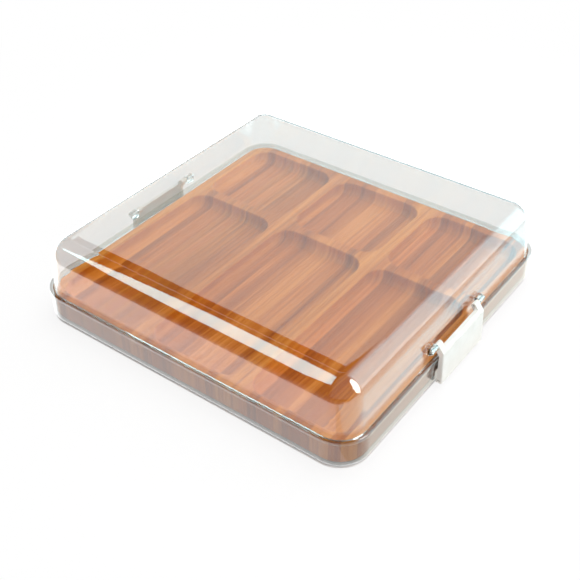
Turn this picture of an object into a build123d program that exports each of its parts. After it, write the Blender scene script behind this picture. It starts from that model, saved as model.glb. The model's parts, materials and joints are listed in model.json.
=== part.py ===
from build123d import *
import os
from math import cos, radians, tan

# A lidded, divided serving tray. Millimetres, +Z up, +X along the front edge, -Y to the front.
# The origin is the centre of the base tray's underside, on the table.

# Base tray: a clear, shallow pan with a bead round its rim
base_length = 300.0
base_depth = 293.0
base_height = 26.0
base_corner_radius = 25.5
base_wall = 2.2
base_floor = 2.6
foot_radius = 4.5
floor_cove = 1.5
rim_bead = 0.8
rim_bead_height = 3.2
rim_round = 0.9
bead_round = 0.5

# Lid: a clear cover with drafted walls and a round shoulder, nested inside the base rim on the board
total_height = 69.0
lid_wall = 1.9
lid_draft = 4.9
shoulder_radius = 16.5
rim_gap = 0.8

# Serving board: laminated wood with two rows of carved pockets, filling the base from wall to wall
board_thickness = 20.4
board_edge_round = 1.2
pocket_columns = 3
pocket_margin = 9.4
pocket_ridge = 9.8
pocket_depth = 11.0
pocket_corner_radius = 15.0
pocket_cove = 6.0
back_pocket_length = 84.5

# Latches: a clip on each side of the lid, whose two arms turn on short steel pins in clear ears
latch_width = 63.0
latch_lean = 3.0
latch_plate = 2.0
latch_cheek = 2.0
cheek_recess = 0.8
latch_arm = 6.0
latch_standoff = 6.0
latch_bottom = 2.4
latch_sill = 2.2
latch_edge_round = 1.0
latch_foot_round = 1.8
crease_drop = 5.0
crease_groove = 0.4
band_height = 3.0
pivot_rise = 10.5
barrel_radius = 2.1
ear_radius = 2.6
ear_length = 8.0
ear_reach = 5.0
ear_round = 0.6
pin_diameter = 1.6
pin_recess = 0.5

# Catch: a ridge on the base wall, and the hook inside each latch that closes just under it
catch_height = 10.5
catch_depth = 1.7
catch_face = 1.2
catch_slope = 2.6
catch_length = 52.0
hook_thickness = 2.9

# Clearances between pieces
seat_gap = 0.2
board_clearance = 0.5
latch_gap = 0.5
hook_gap = 0.6
hook_pass = 0.3
barrel_gap = 0.6
arm_gap = 0.4
rim_pass = 2.4
pin_running_gap = 0.05
pin_held_gap = 0.02

# Heights and faces that several pieces share
board_bottom = base_floor + seat_gap
board_top = board_bottom + board_thickness
skirt_bottom = board_top + seat_gap
draft_slope = tan(radians(lid_draft))
lid_wall_across = lid_wall / cos(radians(lid_draft))
rim_thickness = rim_bead + base_wall
board_inset = rim_thickness + board_clearance
board_length = base_length - 2 * board_inset
board_depth = base_depth - 2 * board_inset
board_travel = base_height - board_bottom


def lid_inset_at(height):
    """How far the lid's outer face stands in from the rim's outer face at a height."""
    return rim_thickness + rim_gap + (height - skirt_bottom) * draft_slope


# The hinge line of the right-hand latch
rim_face = base_length / 2
side_face = rim_face - rim_bead
pivot_z = base_height + pivot_rise
lid_face = rim_face - lid_inset_at(pivot_z)
pivot_x = lid_face + barrel_radius + barrel_gap
crease_z = pivot_z - crease_drop
arm_root_z = base_height + rim_pass
ear_start = latch_width / 2 + arm_gap


def plate_face_at(height):
    """How far out the leaning front of the right-hand latch stands at a height."""
    return rim_face + latch_standoff - (height - latch_bottom) * tan(radians(latch_lean))


def rounded_block(length, depth, corner, bottom, top, taper=0.0):
    outline = Pos(0, 0, bottom) * RectangleRounded(length, depth, corner)
    return extrude(outline, top - bottom, taper=taper)


def across_y(profile, width, middle=0.0):
    """Extrude a profile drawn on the XZ plane over a width of Y, about a middle."""
    return Pos(0, middle, 0) * extrude(Plane.XZ * profile, width / 2, both=True)


def hinge_bore(radius, length):
    return Pos(pivot_x, 0, pivot_z) * Rot(90, 0, 0) * Cylinder(radius, length)


def both_sides(piece):
    """A right-hand feature and the same feature turned round to the left-hand side."""
    return piece + Rot(0, 0, 180) * piece


def top_face(solid):
    return solid.faces().sort_by(Axis.Z)[-1]


def bottom_face(solid):
    return solid.faces().sort_by(Axis.Z)[0]


def make_catch():
    ridge_root = side_face - base_wall / 2
    ridge_tip = rim_face + catch_depth
    profile = Polygon(
        (ridge_root, catch_height),
        (ridge_tip, catch_height),
        (ridge_tip, catch_height + catch_face),
        (side_face, catch_height + catch_face + catch_slope),
        (ridge_root, catch_height + catch_face + catch_slope),
        align=None,
    )
    return across_y(profile, catch_length)


def make_base_tray():
    pan = rounded_block(
        base_length - 2 * rim_bead,
        base_depth - 2 * rim_bead,
        base_corner_radius - rim_bead,
        0,
        base_height,
    )
    pan = fillet(bottom_face(pan).edges(), foot_radius)
    bead = rounded_block(
        base_length, base_depth, base_corner_radius, base_height - rim_bead_height, base_height
    )
    bead = fillet(bottom_face(bead).edges(), bead_round)
    hollow = rounded_block(
        base_length - 2 * rim_thickness,
        base_depth - 2 * rim_thickness,
        base_corner_radius - rim_thickness,
        base_floor,
        base_height,
    )
    tray = pan + bead - fillet(bottom_face(hollow).edges(), floor_cove)
    tray = fillet(top_face(tray).edges(), rim_round)
    return tray + both_sides(make_catch())


def make_lid_form(inset, top, shoulder):
    form = rounded_block(
        base_length - 2 * inset,
        base_depth - 2 * inset,
        base_corner_radius - inset,
        skirt_bottom,
        top,
        lid_draft,
    )
    return fillet(top_face(form).edges(), shoulder)


def make_ear():
    """One clear lug: a round nose about the hinge line that spreads down the lid's wall."""
    wall_middle = lid_face - lid_wall_across / 2
    nose = Pos(pivot_x, pivot_z) * Circle(ear_radius)
    root = Line((wall_middle, pivot_z - ear_reach), (wall_middle, pivot_z + ear_radius))
    profile = make_hull(nose.edges() + [root])
    ear = across_y(profile, ear_length, ear_start + ear_length / 2)
    nose_faces = ear.faces().filter_by(GeomType.CYLINDER)
    ear = fillet(nose_faces.edges().filter_by(GeomType.CIRCLE), ear_round)
    return ear


def make_lid():
    inset = lid_inset_at(skirt_bottom)
    lid = make_lid_form(inset, total_height, shoulder_radius)
    inside = make_lid_form(
        inset + lid_wall_across, total_height - lid_wall, shoulder_radius - lid_wall
    )
    ear = make_ear()
    ear_pair = ear + mirror(ear, Plane.XZ)
    lid = lid + both_sides(ear_pair) - inside
    return lid - both_sides(hinge_bore(pin_diameter / 2 + pin_held_gap, base_depth))


def make_board():
    board = rounded_block(
        board_length, board_depth, base_corner_radius - board_inset, board_bottom, board_top
    )
    field_length = board_length - 2 * pocket_margin
    field_depth = board_depth - 2 * pocket_margin
    width = (field_length - (pocket_columns - 1) * pocket_ridge) / pocket_columns
    front_length = field_depth - pocket_ridge - back_pocket_length
    floor = board_top - pocket_depth
    rows = [
        (back_pocket_length, field_depth / 2 - back_pocket_length / 2),
        (front_length, front_length / 2 - field_depth / 2),
    ]
    for length, middle in rows:
        pocket = rounded_block(width, length, pocket_corner_radius, floor, board_top)
        pocket = fillet(bottom_face(pocket).edges(), pocket_cove)
        for column in range(pocket_columns):
            place = (column - (pocket_columns - 1) / 2) * (width + pocket_ridge)
            board -= Pos(place, middle, 0) * pocket
    rounded = top_face(board).edges() + bottom_face(board).edges()
    return fillet(rounded, board_edge_round)


def make_latch_blank():
    """The right-hand clip before it is hollowed: a leaning lever that bends in to a barrel on the hinge."""
    lever_inner = rim_face + latch_gap
    lever = Polygon(
        (lever_inner, latch_bottom),
        (plate_face_at(latch_bottom), latch_bottom),
        (plate_face_at(crease_z), crease_z),
        (lever_inner, crease_z),
        align=None,
    )
    barrel = Pos(pivot_x, pivot_z) * Circle(barrel_radius)
    shoulder = Polyline(
        (lever_inner, arm_root_z),
        (plate_face_at(arm_root_z), arm_root_z),
        (plate_face_at(crease_z), crease_z),
    )
    arm = make_hull(barrel.edges() + shoulder.edges())
    blank = across_y(lever + arm, latch_width)
    foot = blank.edges().filter_by(Axis.Y).group_by(Axis.Z)[0].sort_by(Axis.X)[-1]
    blank = fillet(foot, latch_foot_round)
    front_face = blank.faces().sort_by(Axis.X)[-1]
    front_edges = front_face.edges().filter_by(Axis.Y, reverse=True)
    return fillet(front_edges, latch_edge_round)


def make_latch():
    """The clip: two recessed cheeks, a window between the hinge arms and a hook inside the lever."""
    inner_foot = plate_face_at(latch_bottom) - latch_plate
    inner_root = plate_face_at(arm_root_z) - latch_plate
    inner_crease = plate_face_at(crease_z) - latch_plate
    window_sill = crease_z + band_height
    cavity = Polygon(
        (lid_face, 0),
        (inner_foot, 0),
        (inner_root, arm_root_z),
        (lid_face, arm_root_z),
        align=None,
    )
    window = Polygon(
        (lid_face, 0),
        (inner_foot, 0),
        (inner_crease, crease_z),
        (inner_crease - band_height, window_sill),
        (plate_face_at(0), window_sill),
        (plate_face_at(0), total_height),
        (lid_face, total_height),
        align=None,
    )
    recess = Polygon(
        (lid_face, latch_bottom + latch_sill),
        (inner_foot, latch_bottom + latch_sill),
        (inner_root, arm_root_z),
        (lid_face, arm_root_z),
        align=None,
    )
    latch = make_latch_blank()
    latch -= across_y(cavity, latch_width - 2 * (cheek_recess + latch_cheek))
    latch -= across_y(window, latch_width - 2 * latch_arm)
    for side in (-1, 1):
        latch -= across_y(recess, 2 * cheek_recess, side * latch_width / 2)
    groove = Pos(plate_face_at(crease_z), crease_z) * Circle(crease_groove)
    latch -= across_y(groove, latch_width - 2 * latch_arm)

    hook_top = catch_height - hook_gap
    hook_root = plate_face_at(hook_top) - latch_plate
    hook_tip = rim_face + catch_depth + hook_pass
    hook = Polygon(
        (hook_tip, hook_top),
        (hook_root + latch_plate / 2, hook_top),
        (hook_root + latch_plate / 2, hook_top - hook_thickness - catch_depth),
        (hook_root, hook_top - hook_thickness - catch_depth),
        (hook_tip, hook_top - hook_thickness),
        align=None,
    )
    latch += across_y(hook, catch_length)
    return latch - hinge_bore(pin_diameter / 2 + pin_running_gap, base_depth)


def make_latch_pin():
    """The short pin in the back ear of the right-hand latch; the front one is its mirror image."""
    inner_end = latch_width / 2 - latch_arm + pin_recess
    outer_end = ear_start + ear_length - pin_recess
    pin = hinge_bore(pin_diameter / 2, outer_end - inner_end)
    return Pos(0, (inner_end + outer_end) / 2, 0) * pin


latch_right = make_latch()
pin_right_back = make_latch_pin()
pin_right_front = mirror(pin_right_back, Plane.XZ)
half_turn = Rot(0, 0, 180)

pieces = {
    "base_tray": make_base_tray(),
    "serving_board": make_board(),
    "lid": make_lid(),
    "latch_right": latch_right,
    "latch_left": half_turn * latch_right,
    "latch_pin_right": pin_right_front,
    "latch_pin_right_back": pin_right_back,
    "latch_pin_left": half_turn * pin_right_back,
    "latch_pin_left_back": half_turn * pin_right_front,
}

os.makedirs("parts", exist_ok=True)
for name, piece in pieces.items():
    export_step(piece, f"parts/{name}.step")
    print(name, round(piece.volume), "mm3")
print("board inset", round(board_inset, 2), "travel", round(board_travel, 2))
print("hinge line x", round(pivot_x, 3), "z", round(pivot_z, 3))
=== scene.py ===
# %% [markdown]
# # A lidded, divided serving tray
# The tray has four kinds of piece: a clear base, a carved wooden board that fills it, a clear lid that
# stands on the board inside the base's rim, and on each side a clip that turns on two short steel pins and
# holds the lid down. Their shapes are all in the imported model, which is loaded here as a fixed frame.
# Blender adds what the solids lack: the grain of the wood, the gloss of the mouldings, and a studio. Clear
# plastic shows what is round it twice, once through it and once mirrored in it, so much of this lesson is
# about what stands round the tray.

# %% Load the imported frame
import json
import math
import bmesh
import bpy
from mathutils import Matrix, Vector


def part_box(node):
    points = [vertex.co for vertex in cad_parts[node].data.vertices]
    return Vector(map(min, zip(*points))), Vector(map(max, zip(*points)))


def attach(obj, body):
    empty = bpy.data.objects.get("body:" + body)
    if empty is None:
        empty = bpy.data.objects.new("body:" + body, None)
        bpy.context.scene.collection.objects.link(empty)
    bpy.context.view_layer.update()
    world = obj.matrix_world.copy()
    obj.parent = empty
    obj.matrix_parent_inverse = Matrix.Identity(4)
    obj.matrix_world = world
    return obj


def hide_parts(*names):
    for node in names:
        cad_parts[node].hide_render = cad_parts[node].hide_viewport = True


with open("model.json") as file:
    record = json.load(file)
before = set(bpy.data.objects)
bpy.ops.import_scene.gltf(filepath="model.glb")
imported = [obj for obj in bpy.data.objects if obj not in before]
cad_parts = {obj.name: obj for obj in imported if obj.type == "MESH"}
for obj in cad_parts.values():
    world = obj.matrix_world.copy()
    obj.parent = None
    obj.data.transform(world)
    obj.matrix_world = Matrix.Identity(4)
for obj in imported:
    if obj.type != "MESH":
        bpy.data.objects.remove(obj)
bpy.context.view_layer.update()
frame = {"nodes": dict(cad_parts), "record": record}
scene = bpy.context.scene
scene.view_settings.view_transform = "Standard"
print("nodes:", sorted(frame["nodes"]))

# %% [markdown]
# ## How far light is followed
# Light that enters a clear wall by its edge is thrown to and fro inside it many times before it leaves. The
# renderer gives up after a dozen bounces and shows black for the rest, which would draw dark lines along the
# rim and the lid's outline. Lighter plastic wouldn't cure that, so the limits are raised until they clear.

# %% Bounces
scene.cycles.max_bounces = 40
scene.cycles.glossy_bounces = 24
scene.cycles.transmission_bounces = 30
print("bounces followed:", scene.cycles.max_bounces)

# %% [markdown]
# ## The camera
# The tray is seen from above its front right corner, with the clip facing right. A camera can be put there
# by hand until the outline fits, but the angles are easier to read as numbers: the azimuth turns round the
# tray, the elevation looks down on it, and the distance sets how fast its edges draw together. A 60 mm lens
# at 0.79 m gives the mild perspective of a product photograph.

# %% Camera
azimuth = math.radians(36.19)
elevation = math.radians(38.51)
camera_distance = 0.79067
lens_mm = 60.01
sensor_mm = 36.0
looked_at = Vector((0, 0, 0.03))
frame_slide = -0.00511
frame_drop = -0.02425

away = Vector((
    math.sin(azimuth) * math.cos(elevation),
    -math.cos(azimuth) * math.cos(elevation),
    math.sin(elevation),
))
right = Vector((math.cos(azimuth), math.sin(azimuth), 0.0))
up = away.cross(right)

camera = bpy.data.objects.new("camera", bpy.data.cameras.new("camera"))
camera.data.lens = lens_mm
camera.data.sensor_width = sensor_mm
camera.location = looked_at + right * frame_slide + up * frame_drop + away * camera_distance
camera.rotation_euler = away.to_track_quat("Z", "Y").to_euler()
scene.collection.objects.link(camera)
scene.camera = camera
print("camera at", [round(c, 3) for c in camera.location])

# %% [markdown]
# ## Writing node trees as sums
# Every finish below is a tree of shader nodes. Placing them one by one takes several lines each, so two
# small classes do it. `Wire` stands for one socket, and adding or multiplying two wires adds a Math node.
# Its `fade` is a smooth step from 0 to 1, which serves for every soft edge in the lesson. `Finish` owns a
# tree and has one method for any other node: its type, its settings, then its sockets. A Mix node's colour
# sockets have no names of their own, only numbers, so one helper keeps those numbers in a single place.

# %% Wires
class Wire:
    """One output socket. Python's operators on it add Math nodes to the same tree."""

    def __init__(self, finish, socket):
        self.finish = finish
        self.socket = socket

    def out(self, name):
        return Wire(self.finish, self.socket.node.outputs[name])

    def math(self, operation, first, second=0.0):
        return self.finish.add("ShaderNodeMath", {"operation": operation}, {0: first, 1: second})

    def __add__(self, other):
        return self.math("ADD", self, other)

    def __radd__(self, other):
        return self.math("ADD", other, self)

    def __sub__(self, other):
        return self.math("SUBTRACT", self, other)

    def __rsub__(self, other):
        return self.math("SUBTRACT", other, self)

    def __mul__(self, other):
        return self.math("MULTIPLY", self, other)

    def __rmul__(self, other):
        return self.math("MULTIPLY", other, self)

    def __truediv__(self, other):
        return self.math("DIVIDE", self, other)

    def __rtruediv__(self, other):
        return self.math("DIVIDE", other, self)

    def floor(self):
        return self.math("FLOOR", self)

    def fraction(self):
        return self.math("FRACT", self)

    def root(self):
        return self.math("SQRT", self)

    def size(self):
        return self.math("ABSOLUTE", self)

    def least(self, other):
        return self.math("MINIMUM", self, other)

    def most(self, other):
        return self.math("MAXIMUM", self, other)

    def above(self, limit):
        return self.math("GREATER_THAN", self, limit)

    def fade(self, start, end):
        """0 up to start and 1 from end on, with a smooth way between. Start may be the larger."""
        return self.finish.add("ShaderNodeMapRange", {"interpolation_type": "SMOOTHSTEP"},
                               {"Value": self, "From Min": start, "From Max": end})


print("a wire can be added, multiplied and faded")

# %% Finishes
class Finish:
    """A node tree of a material or a world, built one node at a time."""

    def __init__(self, owner):
        owner.use_nodes = True
        self.owner = owner
        self.tree = owner.node_tree
        self.tree.nodes.clear()

    def add(self, kind, settings=None, sockets=None, output=0):
        node = self.tree.nodes.new(kind)
        for name, value in (settings or {}).items():
            if name == "stops":
                ramp = node.color_ramp.elements
                while len(ramp) < len(value):
                    ramp.new(0.5)
                for element, (position, colour) in zip(ramp, value):
                    element.position = position
                    element.color = (*colour, 1.0)
            else:
                setattr(node, name, value)
        for name, value in (sockets or {}).items():
            if isinstance(value, Wire):
                self.tree.links.new(value.socket, node.inputs[name])
            else:
                node.inputs[name].default_value = value
        return Wire(self, node.outputs[output]) if len(node.outputs) else None


def new_material(name):
    return Finish(bpy.data.materials.new(name))


def mixed(finish, share, first, second, how="MIX"):
    """A colour between two others, by the Mix node's colour sockets."""
    settings = {"data_type": "RGBA", "blend_type": how}
    return finish.add("ShaderNodeMix", settings, {0: share, 6: first, 7: second}, 2)


print("a finish takes any node by its type, settings and sockets")

# %% [markdown]
# ## The table
# The tray stands on a white sheet that runs out of sight. One large face is enough for it. It lies a hair
# under the base, because two faces at the same height flicker into each other.

# %% Table
floor_half = 4.0
floor_drop = 0.0004

ends = (-floor_half, floor_half)
floor_mesh = bpy.data.meshes.new("table")
floor_mesh.from_pydata([(x, y, -floor_drop) for y in ends for x in ends], [], [(0, 1, 3, 2)])
table = bpy.data.objects.new("table", floor_mesh)
scene.collection.objects.link(table)
print("table:", 2 * floor_half, "m wide")

# %% [markdown]
# ## Where on the sheet
# A clear tray shows the sheet in four ways: beside it, under it, through its walls, and mirrored in them.
# Painting them with one white would flatten it, so first the sheet is divided by place. A rounded rectangle
# parts what the base covers from the open floor, and three straight limits mark the strip close beside the
# base, the floor to the right of that, and a line in front past which the sheet's painted reflection turns
# dark.

# %% Places on the sheet
tray_half = (0.1485, 0.145)
tray_corner = 0.024
base_strip = 0.02
# Past this line towards the front, the sheet's painted reflection turns almost black.
dark_reflection_line = -0.23

sheet = new_material("white_sheet")
spot = sheet.add("ShaderNodeSeparateXYZ", {}, {0: sheet.add("ShaderNodeTexCoord", output="Object")}, "X")
past_x = (spot.size() - (tray_half[0] - tray_corner)).most(0.0)
past_y = (spot.out("Y").size() - (tray_half[1] - tray_corner)).most(0.0)
open_floor = ((past_x * past_x + past_y * past_y) / tray_corner ** 2).floor().least(1.0)
behind_dark_reflection = spot.out("Y").above(dark_reflection_line)
right_side = spot.above(tray_half[0])
clear_of_base = spot.above(tray_half[0] + base_strip)
apart = (spot * spot + spot.out("Y") * spot.out("Y")).root()
print("covered by the base:", [round(2000 * half) for half in tray_half], "mm")

# %% [markdown]
# ## The white of the sheet
# A white floor under soft light renders pale grey, and stronger lamps would bleach the tray. So the eye is
# shown a glowing white, with a share of the lit floor mixed in: a little near the tray, where its soft
# shadow lies, and most of it under the base. What the walls mirror is a painted reflection, set apart by the
# count of gloss bounces: the sheet glows brighter than white beside the tray and almost black past a line in
# front of it, which paints the dark band along the lid's front shoulder. To the right the painted reflection
# is cooler, but for a warm strip close by the base, so that the lid's right wall hazes over and the base's
# doesn't turn blue. Light that bounces up onto the tray comes from a plain white floor.

# %% White sheet
# Painted reflection: how bright the sheet looks in mirrors, and with what tint. The eye never sees this.
mirrored_white = 2.2
mirrored_strip = 1.6
mirrored_front = 0.1
warm_sheen = (1.0, 0.96, 0.86, 1)
cool_sheen = (0.64, 0.93, 1.0, 1)
white = (1, 1, 1, 1)
bounce_white = (0.8, 0.8, 0.8, 1)
shadow_share = 0.15
shadow_reach = (0.6, 0.22)
covered_share = 0.88

path = sheet.add("ShaderNodeLightPath", output="Is Camera Ray")
seen = path.most(path.out("Is Glossy Ray")).most(path.out("Is Transmission Ray"))
mirrored = path.out("Glossy Depth").least(1.0)
in_strip = right_side - clear_of_base
# The sheet's painted reflection: brighter than white behind the line, and nearly black in front of it.
sheet_glow = mirrored_white - in_strip * (mirrored_white - mirrored_strip)
mirrored_glow = mirrored_front + behind_dark_reflection * (sheet_glow - mirrored_front)
beside = mixed(sheet, clear_of_base, warm_sheen, cool_sheen)
cast = mixed(sheet, right_side * mirrored, white, beside)
brightened = sheet.add("ShaderNodeVectorMath", {"operation": "SCALE"},
                       {0: cast, "Scale": 1.0 + mirrored * (mirrored_glow - 1.0)})
glow = sheet.add("ShaderNodeEmission", {}, {"Color": brightened})
lit = sheet.add("ShaderNodeBsdfDiffuse", {}, {"Color": white})
bounce = sheet.add("ShaderNodeBsdfDiffuse", {}, {"Color": bounce_white})
share = open_floor * (shadow_share * apart.fade(*shadow_reach)) + (1.0 - open_floor) * covered_share
shown = sheet.add("ShaderNodeMixShader", {}, {0: share, 1: glow, 2: lit})
surface = sheet.add("ShaderNodeMixShader", {}, {0: seen, 1: bounce, 2: shown})
sheet.add("ShaderNodeOutputMaterial", {}, {"Surface": surface})
table.data.materials.append(sheet.owner)
print("lit floor in the white:", shadow_share, "beside the tray and", covered_share, "under it")

# %% [markdown]
# ## The lamps
# The wood and the clips are lit by four large soft lamps: one overhead, one low at the front, one behind and
# one far out at the right for the clip. A lamp's power spreads over its face, so it is worked out here from
# how bright the face should look, and a lamp can change its size and keep its look. The lid would mirror all
# four as hard white rectangles, so gloss doesn't see them: its highlights come from cards of their own.

# %% Lamps
white_watts = 4.0


def softbox(name, place, aim, size, radiance):
    """An area lamp of a known brightness. A face with white_watts a square metre looks 1, which is white."""
    lamp = bpy.data.lights.new(name, "AREA")
    lamp.shape = "RECTANGLE"
    lamp.size, lamp.size_y = size
    lamp.energy = white_watts * size[0] * size[1] * radiance
    box = bpy.data.objects.new(name, lamp)
    box.location = place
    box.rotation_euler = (Vector(place) - Vector(aim)).to_track_quat("Z", "Y").to_euler()
    box.visible_camera = False
    box.visible_glossy = False
    box.visible_transmission = False
    scene.collection.objects.link(box)
    print(name, round(lamp.energy, 1), "W")


softbox("key_softbox", place=(0.12, 0.25, 1.25), aim=(0.0, 0.0, 0.0), size=(1.3, 1.3), radiance=1.9)
softbox("front_fill", place=(0.9, -1.4, 0.6), aim=(0.0, 0.0, 0.03), size=(1.2, 0.8), radiance=2.6)
softbox("back_fill", place=(-0.2, 0.9, 0.595), aim=(-0.2, 0.0, 0.595), size=(2.8, 1.17), radiance=0.9)
softbox("clip_softbox", place=(3.6, 0.6, 0.9), aim=(0.0, 0.0, 0.03), size=(2.0, 1.3), radiance=2.1)

# %% [markdown]
# ## Cards for the highlights
# A photographer shapes the highlights on clear plastic with white cards held just out of view. Here a card is
# one glowing face, hidden from the eye and from diffuse light, so it can be moved without changing the light
# on the wood. It isn't hidden from rays that pass through the lid, because part of each highlight comes from
# a wall's inner face and leaves through the outer one. So from a side that has a card behind the lid, the
# card shows through it. An edge that would show as a hard line on the lid fades out into a transparent card,
# because one that fades to black would hide the room behind it.

# %% A glowing card
def glowing_card(name, outline, colour, strength, edges=()):
    """A glowing face for highlights. Each edge is an axis and the two places that it fades between."""
    mesh = bpy.data.meshes.new(name)
    mesh.from_pydata(outline, [], [range(len(outline))])
    card = bpy.data.objects.new(name, mesh)
    scene.collection.objects.link(card)
    card.visible_camera = False
    card.visible_diffuse = False
    card.visible_shadow = False
    finish = new_material(name)
    light = finish.add("ShaderNodeEmission", {}, {"Color": (*colour, 1), "Strength": strength})
    if edges:
        place = finish.add("ShaderNodeTexCoord", output="Object")
        spot = finish.add("ShaderNodeSeparateXYZ", {}, {0: place}, "X")
        share = 1.0
        for axis, start, end in edges:
            share = share * spot.out(axis).fade(start, end)
        bare = finish.add("ShaderNodeBsdfTransparent")
        light = finish.add("ShaderNodeMixShader", {}, {0: share, 1: bare, 2: light})
    finish.add("ShaderNodeOutputMaterial", {}, {"Surface": light})
    card.data.materials.append(finish.owner)
    print(name, "of", len(outline), "corners, at brightness", strength)


print("a card takes an outline, a colour and a brightness")

# %% [markdown]
# ## The three cards
# The long streak on the lid's front shoulder is a card high on the left. A round shoulder squeezes what it
# mirrors into a thin line, so the card's outline was found by following rays back from the streak's two
# edges. The bright spot on the front right corner comes from a second card, drawn in close to that corner so
# that no other part of the lid sees much of it. The third, behind the tray, lays the pale sheen on the flat
# top. It isn't tall enough for the front of that face to see it, so there the wood keeps its full colour.

# %% Streak, corner and back cards
streak_height = 1.06
streak_plan = [
    (-1.14, -0.72), (-1.12, -1.12), (-1.02, -1.26), (-0.58, -1.25), (-0.43, -0.95), (-0.34, -0.70),
    (-0.28, -0.35), (-0.26, 0.0), (-0.32, 0.10), (-0.58, 0.08), (-0.73, -0.12), (-0.88, -0.38),
]
streak_outline = [(x, y, streak_height) for x, y in streak_plan]
glowing_card("streak_card", streak_outline, colour=(0.62, 0.96, 1.0), strength=7.3)

lid_corner = Vector((0.137, -0.137, 0.058))
corner_nearness = 0.15
corner_far = [
    (0.36, 0.25, 0.94), (0.62, 0.38, 0.70), (0.88, 0.36, 0.35), (1.03, 0.27, 0.03),
    (1.11, 0.03, 0.24), (0.92, -0.02, 0.68), (0.58, 0.10, 0.92),
]
corner_outline = [lid_corner.lerp(Vector(point), corner_nearness) for point in corner_far]
glowing_card("corner_card", corner_outline, colour=(0.9, 1.0, 1.0), strength=18.0)

back_y = 0.9
back_left = -1.8
back_right = 0.45
back_low = 0.25
back_high = 1.18
back_outline = [
    (back_left, back_y, back_low), (back_right, back_y, back_low),
    (back_right, back_y, back_high), (back_left, back_y, back_high),
]
back_edges = [("X", back_left, -1.4), ("X", back_right, -0.15), ("Z", back_low, 0.58)]
glowing_card("back_card", back_outline, colour=(0.82, 0.98, 0.98), strength=1.68, edges=back_edges)

# %% [markdown]
# ## The room
# What no lamp or card fills is the room, which Blender calls the world. Seen straight or through the lid it
# is white, as in a photograph on white. As light it is dim, so that the lamps do the modelling. Mirrored, it
# has a pale wall with a dark gap at the left, beside the streak, and a bright window at the right, which
# lays the haze along the right shoulder. Light that was mirrored twice gets a share of white of its own,
# because such paths run round inside the plastic's edges, and would leave them black.

# %% Room
room_ambient = 0.2
room_least = 0.015
twice_mirrored = 0.5
window_place = 0.69
window_edges = (0.28, 0.12)
window_side = (-0.3, 0.25)
window_glow = 4.2
gap_place = -0.51
gap_edges = (0.2, 0.45)
gap_end = (0.66, 0.85)
wall_glow = 0.5

studio = Finish(bpy.data.worlds.new("studio"))
path = studio.add("ShaderNodeLightPath", output="Is Camera Ray")
direct = 1.0 - path.out("Glossy Depth").least(1.0)
deep = (path.out("Glossy Depth") - 1.0).most(0.0).least(1.0)
beyond = path.most(path.out("Is Transmission Ray")) * direct
ambient = room_ambient * (1.0 - path.out("Is Glossy Ray"))
towards = studio.add("ShaderNodeTexCoord", output="Generated")
heading = studio.add("ShaderNodeSeparateXYZ", {}, {0: towards}, "X")
backward = heading.out("Y")
window = (backward - window_place).size().fade(*window_edges) * heading.fade(*window_side) * window_glow
pale_wall = (heading - gap_place).size().fade(*gap_edges).most(backward.fade(*gap_end)) * wall_glow
in_gloss = (window + pale_wall) * (1.0 - direct)
strength = beyond + (1.0 - beyond) * (ambient + room_least) + in_gloss + deep * twice_mirrored
cast = mixed(studio, direct, cool_sheen, white)
shown = studio.add("ShaderNodeVectorMath", {"operation": "SCALE"}, {0: cast, "Scale": strength})
room = studio.add("ShaderNodeBackground", {}, {"Color": shown})
studio.add("ShaderNodeOutputWorld", {}, {"Surface": room})
scene.world = studio.owner
print("the room as light:", room_ambient, "of white")

# %% [markdown]
# ## The board's strips
# The board is a panel glued from narrow strips that run from front to back, and each strip has a colour of
# its own. An image of wood would stretch over the pockets. Here the strip's number comes from the place
# across the board, and a random value for each number picks its tone, so a strip runs on down into the
# pockets as it does in carved wood. The glued lines wander a little, because planed strips are never true.

# %% Strips
strip_width = 7.6
line_wander = 3.0
grain_roughness = 0.6
in_millimetres = 1000.0

wood = new_material("laminated_wood")
place = wood.add("ShaderNodeTexCoord", output="Object")
millimetres = wood.add("ShaderNodeVectorMath", {"operation": "SCALE"}, {0: place, "Scale": in_millimetres})
axes = wood.add("ShaderNodeSeparateXYZ", {}, {0: millimetres}, "X")
across, along = axes, axes.out("Y")


def stretched(across_scale, along_scale, detail, offset):
    """Noise whose grains are short across the strips and long along them."""
    grain = wood.add("ShaderNodeCombineXYZ", {}, {
        "X": across * across_scale,
        "Y": along * along_scale + offset,
        "Z": axes.out("Z") * (along_scale * 2),
    })
    return wood.add("ShaderNodeTexNoise", {},
                    {"Vector": grain, "Scale": 1.0, "Detail": detail, "Roughness": grain_roughness}, "Fac")


def strip_chance(offset):
    """A random value from 0 to 1 for each strip."""
    return wood.add("ShaderNodeTexWhiteNoise", {"noise_dimensions": "1D"}, {"W": number + offset}, "Value")


sway = stretched(across_scale=0.03, along_scale=0.003, detail=1.0, offset=7.0)
lane = (across + (sway - 0.5) * line_wander) / strip_width
number = lane.floor()
tone = strip_chance(0.5)
blush = strip_chance(31.5)
board_low, board_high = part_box("serving_board")
print("wood strips across the board:", round(in_millimetres * (board_high.x - board_low.x) / strip_width))

# %% [markdown]
# ## The wood's colour
# Within a strip the wood drifts slowly, has darker streaks of its own and fine fibres. Each is the same
# noise, stretched along the strip by a different amount, and together with the strip's tone they choose a
# place on one ramp from dark to pale. A ramp keeps every mixture a colour that the wood has, which colours
# mixed by chance would not. Some strips also blush a little redder.

# %% Wood colour
mean_depth = 0.55
tone_share = 0.7
broad_share = 0.5
streak_share = 1.5
fibre_share = 0.5
strip_shift = 17.0
blush_share = 0.8
blush_colour = (0.92, 0.76, 0.80, 1)
wood_stops = [
    (0.0, (0.34, 0.078, 0.005)),
    (0.35, (0.49, 0.130, 0.009)),
    (0.65, (0.62, 0.188, 0.016)),
    (1.0, (0.78, 0.29, 0.042)),
]

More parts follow.
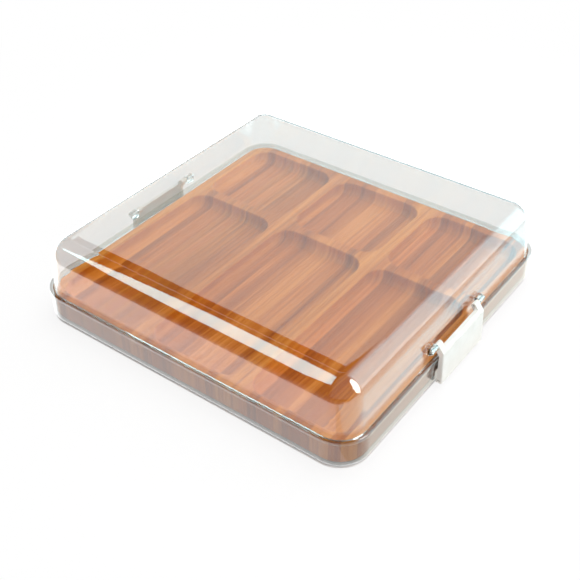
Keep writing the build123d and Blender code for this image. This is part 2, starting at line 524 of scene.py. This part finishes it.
broad = stretched(across_scale=0.02, along_scale=0.003, detail=1.0, offset=21.0)
streaks = stretched(across_scale=0.35, along_scale=0.006, detail=3.0, offset=3.0 + number * strip_shift)
fibres = stretched(across_scale=1.7, along_scale=0.02, detail=2.0, offset=11.0)
depth = (mean_depth + (tone - 0.5) * tone_share + (broad - 0.5) * broad_share
         + (streaks - 0.5) * streak_share + (fibres - 0.5) * fibre_share)
colour = wood.add("ShaderNodeValToRGB", {"stops": wood_stops}, {"Fac": depth}, "Color")
red = mixed(wood, blush * blush_share, colour, blush_colour, "MULTIPLY")
print("shades on the wood's ramp:", len(wood_stops))

# %% [markdown]
# ## The wood's surface
# The board is oiled, not varnished, so it is satin and its fibres can just be felt. The same fibres that
# colour it also set its roughness and a very shallow bump. A thin dark line marks each glued joint.

# %% Oiled wood
line_start = 0.46
line_sharpness = 25.0
line_share = 0.35
glue_colour = (0.55, 0.42, 0.32, 1)

seam = (lane.fraction() - 0.5).size()
joint_line = ((seam - line_start) * line_sharpness).most(0.0).least(1.0)
stained = mixed(wood, joint_line * line_share, red, glue_colour, "MULTIPLY")
grain_bump = wood.add("ShaderNodeBump", {}, {"Strength": 0.12, "Distance": 0.0003, "Height": fibres})
body = wood.add("ShaderNodeBsdfPrincipled", {}, {
    "Base Color": stained,
    "Roughness": 0.42 + fibres * 0.16,
    "Normal": grain_bump,
    "Specular IOR Level": 0.1,
})
wood.add("ShaderNodeOutputMaterial", {}, {"Surface": body})
print("nodes in the wood:", len(wood.tree.nodes))

# %% [markdown]
# ## The clear lid
# The lid is moulded from a water-clear plastic. Glass in a path tracer bends light and reflects it, but it
# also blocks lamps, because a lamp's light can't be aimed through a bent path. So rays that carry lamp light
# to the wood pass straight through a faintly tinted veil instead, and only what the eye sees is real glass.
# A slow ripple keeps the reflections from looking drawn, and fine rubbing varies the gloss.

# %% Lid plastic
plastic_ior = 1.53

clear = new_material("clear_plastic")
place = clear.add("ShaderNodeTexCoord", output="Object")
ripple = clear.add("ShaderNodeTexNoise", {}, {"Vector": place, "Scale": 9.0, "Detail": 1.0}, "Fac")
ripple_bump = clear.add("ShaderNodeBump", {}, {"Strength": 0.04, "Distance": 0.001, "Height": ripple})
rubbed = clear.add("ShaderNodeTexNoise", {}, {"Vector": place, "Scale": 60.0, "Detail": 4.0}, "Fac")
moulding = clear.add("ShaderNodeBsdfPrincipled", {}, {
    "Base Color": (0.86, 0.86, 0.855, 1),
    "Roughness": 0.004 + rubbed * 0.008,
    "Normal": ripple_bump,
    "IOR": plastic_ior,
    "Transmission Weight": 1.0,
})
veil = clear.add("ShaderNodeBsdfTransparent", {}, {"Color": (0.95, 0.955, 0.95, 1)})
path = clear.add("ShaderNodeLightPath", output="Is Shadow Ray")
carried = path.most(path.out("Is Diffuse Ray"))
surface = clear.add("ShaderNodeMixShader", {}, {0: carried, 1: moulding, 2: veil})
clear.add("ShaderNodeOutputMaterial", {}, {"Surface": surface})
print("lid plastic bends light by", plastic_ior)

# %% [markdown]
# ## The clear base
# The base is the same plastic, but the board stands so close behind its wall that bent light would show the
# gap between them as a dark line. The eye sees the wood's edge there, a little greyer, under a thin gloss.
# So the base is a tinted veil that doesn't bend light, with a glint over it that grows towards grazing
# angles as gloss on plastic does. Only the outer faces glint, because two layers would double it.

# %% Base plastic
glint_gain = 2.2

pan = new_material("clear_base")
place = pan.add("ShaderNodeTexCoord", output="Object")
rubbed = pan.add("ShaderNodeTexNoise", {}, {"Vector": place, "Scale": 60.0, "Detail": 4.0}, "Fac")
glint = pan.add("ShaderNodeBsdfPrincipled", {}, {
    "Base Color": (0.68, 0.68, 0.68, 1),
    "Metallic": 1.0,
    "Roughness": 0.05 + rubbed * 0.05,
})
tinted = pan.add("ShaderNodeBsdfTransparent", {}, {"Color": (0.80, 0.80, 0.79, 1)})
path = pan.add("ShaderNodeLightPath", output="Is Shadow Ray")
carried = path.most(path.out("Is Diffuse Ray"))
outside = 1.0 - pan.add("ShaderNodeNewGeometry", output="Backfacing")
grazing = pan.add("ShaderNodeFresnel", {}, {"IOR": plastic_ior})
share = (grazing * glint_gain).least(1.0) * outside * (1.0 - carried)
surface = pan.add("ShaderNodeMixShader", {}, {0: share, 1: tinted, 2: glint})
pan.add("ShaderNodeOutputMaterial", {}, {"Surface": surface})
print("base plastic glints at", glint_gain, "times plain gloss")

# %% [markdown]
# ## The clips
# The clips are moulded in an opaque off-white plastic with a satin skin. A single colour would look like
# paper, so a faint mottle varies its tone and its gloss together, and a fine orange-peel bump breaks up the
# highlights as a moulded skin does.

# %% Clip plastic
clip_stops = [(0.3, (0.80, 0.79, 0.745)), (0.7, (0.86, 0.855, 0.82))]

clip = new_material("latch_plastic")
place = clip.add("ShaderNodeTexCoord", output="Object")
mottle = clip.add("ShaderNodeTexNoise", {}, {"Vector": place, "Scale": 90.0, "Detail": 3.0}, "Fac")
peel = clip.add("ShaderNodeTexNoise", {}, {"Vector": place, "Scale": 1400.0, "Detail": 1.0}, "Fac")
tint = clip.add("ShaderNodeValToRGB", {"stops": clip_stops}, {"Fac": mottle}, "Color")
peel_bump = clip.add("ShaderNodeBump", {}, {"Strength": 0.08, "Distance": 0.0001, "Height": peel})
skin = clip.add("ShaderNodeBsdfPrincipled", {}, {
    "Base Color": tint,
    "Roughness": 0.3 + mottle * 0.14,
    "Normal": peel_bump,
    "Specular IOR Level": 0.25,
})
clip.add("ShaderNodeOutputMaterial", {}, {"Surface": skin})
print("nodes in the clip plastic:", len(clip.tree.nodes))

# %% [markdown]
# ## The pins
# Each clip turns on two short steel pins. Drawn wire carries fine scratches along its length, so the noise
# is squeezed hard across the pin and left long along it, and it varies both the shade and the gloss.

# %% Pin steel
steel_stops = [(0.3, (0.26, 0.25, 0.24)), (0.7, (0.38, 0.37, 0.36))]

steel = new_material("pin_steel")
place = steel.add("ShaderNodeTexCoord", output="Object")
drawn = steel.add("ShaderNodeMapping", {}, {"Vector": place, "Scale": (4000.0, 60.0, 4000.0)})
scratch = steel.add("ShaderNodeTexNoise", {}, {"Vector": drawn, "Scale": 1.0, "Detail": 2.0}, "Fac")
shade = steel.add("ShaderNodeValToRGB", {"stops": steel_stops}, {"Fac": scratch}, "Color")
rod = steel.add("ShaderNodeBsdfPrincipled", {}, {
    "Base Color": shade,
    "Metallic": 1.0,
    "Roughness": 0.34 + scratch * 0.2,
})
steel.add("ShaderNodeOutputMaterial", {}, {"Surface": rod})
print("nodes in the pin steel:", len(steel.tree.nodes))

# %% [markdown]
# ## The finishes go on
# The record names a material slot for every piece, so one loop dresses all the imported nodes. Assigning each
# by hand would work too, but a piece that was added later would be forgotten.

# %% Dress the nodes
finishes = {"clear_plastic": clear, "laminated_wood": wood, "latch_plastic": clip, "pin_steel": steel}
for piece in frame["record"]["subparts"]:
    finish = finishes[piece["material_slot"]]
    for slot in frame["nodes"][piece["node"]].material_slots:
        slot.material = finish.owner
    print(piece["node"], "wears", finish.owner.name)

# %% [markdown]
# ## Smooth twins of the mouldings
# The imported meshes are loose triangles, and on clear plastic every little facet shows as a kink in the
# reflections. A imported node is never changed, so the lid and the base each get a twin: the same triangles
# with their points merged, shaded smooth, and weighted so that the large flat faces stay flat and only the
# rounds between them bend. The twin stands in the node's place and moves with the same body.

# %% Smooth twins
merge_distance = 1e-6
sharp_angle = math.radians(32)
flat_face_weight = 100


def smooth_twin(node, body):
    """A merged copy of a node's mesh whose soft edges shade as one surface, to stand for the node."""
    shape = bmesh.new()
    shape.from_mesh(frame["nodes"][node].data)
    bmesh.ops.remove_doubles(shape, verts=shape.verts, dist=merge_distance)
    mesh = bpy.data.meshes.new(node + "_smooth")
    shape.to_mesh(mesh)
    shape.free()
    if "custom_normal" in mesh.attributes:
        mesh.attributes.remove(mesh.attributes["custom_normal"])
    mesh.shade_smooth()
    mesh.set_sharp_from_angle(angle=sharp_angle)
    twin = bpy.data.objects.new(node + "_smooth", mesh)
    scene.collection.objects.link(twin)
    weigh = twin.modifiers.new("weigh", "WEIGHTED_NORMAL")
    weigh.keep_sharp = True
    weigh.weight = flat_face_weight
    made = bpy.data.meshes.new_from_object(twin.evaluated_get(bpy.context.evaluated_depsgraph_get()))
    twin.modifiers.remove(weigh)
    twin.data = made
    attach(twin, body)
    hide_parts(node)
    return twin


for node, body, finish in (("lid", "cover", clear), ("base_tray", "base", pan)):
    twin = smooth_twin(node, body)
    twin.data.materials.clear()
    twin.data.materials.append(finish.owner)
    print(twin.name, len(twin.data.polygons), "faces")
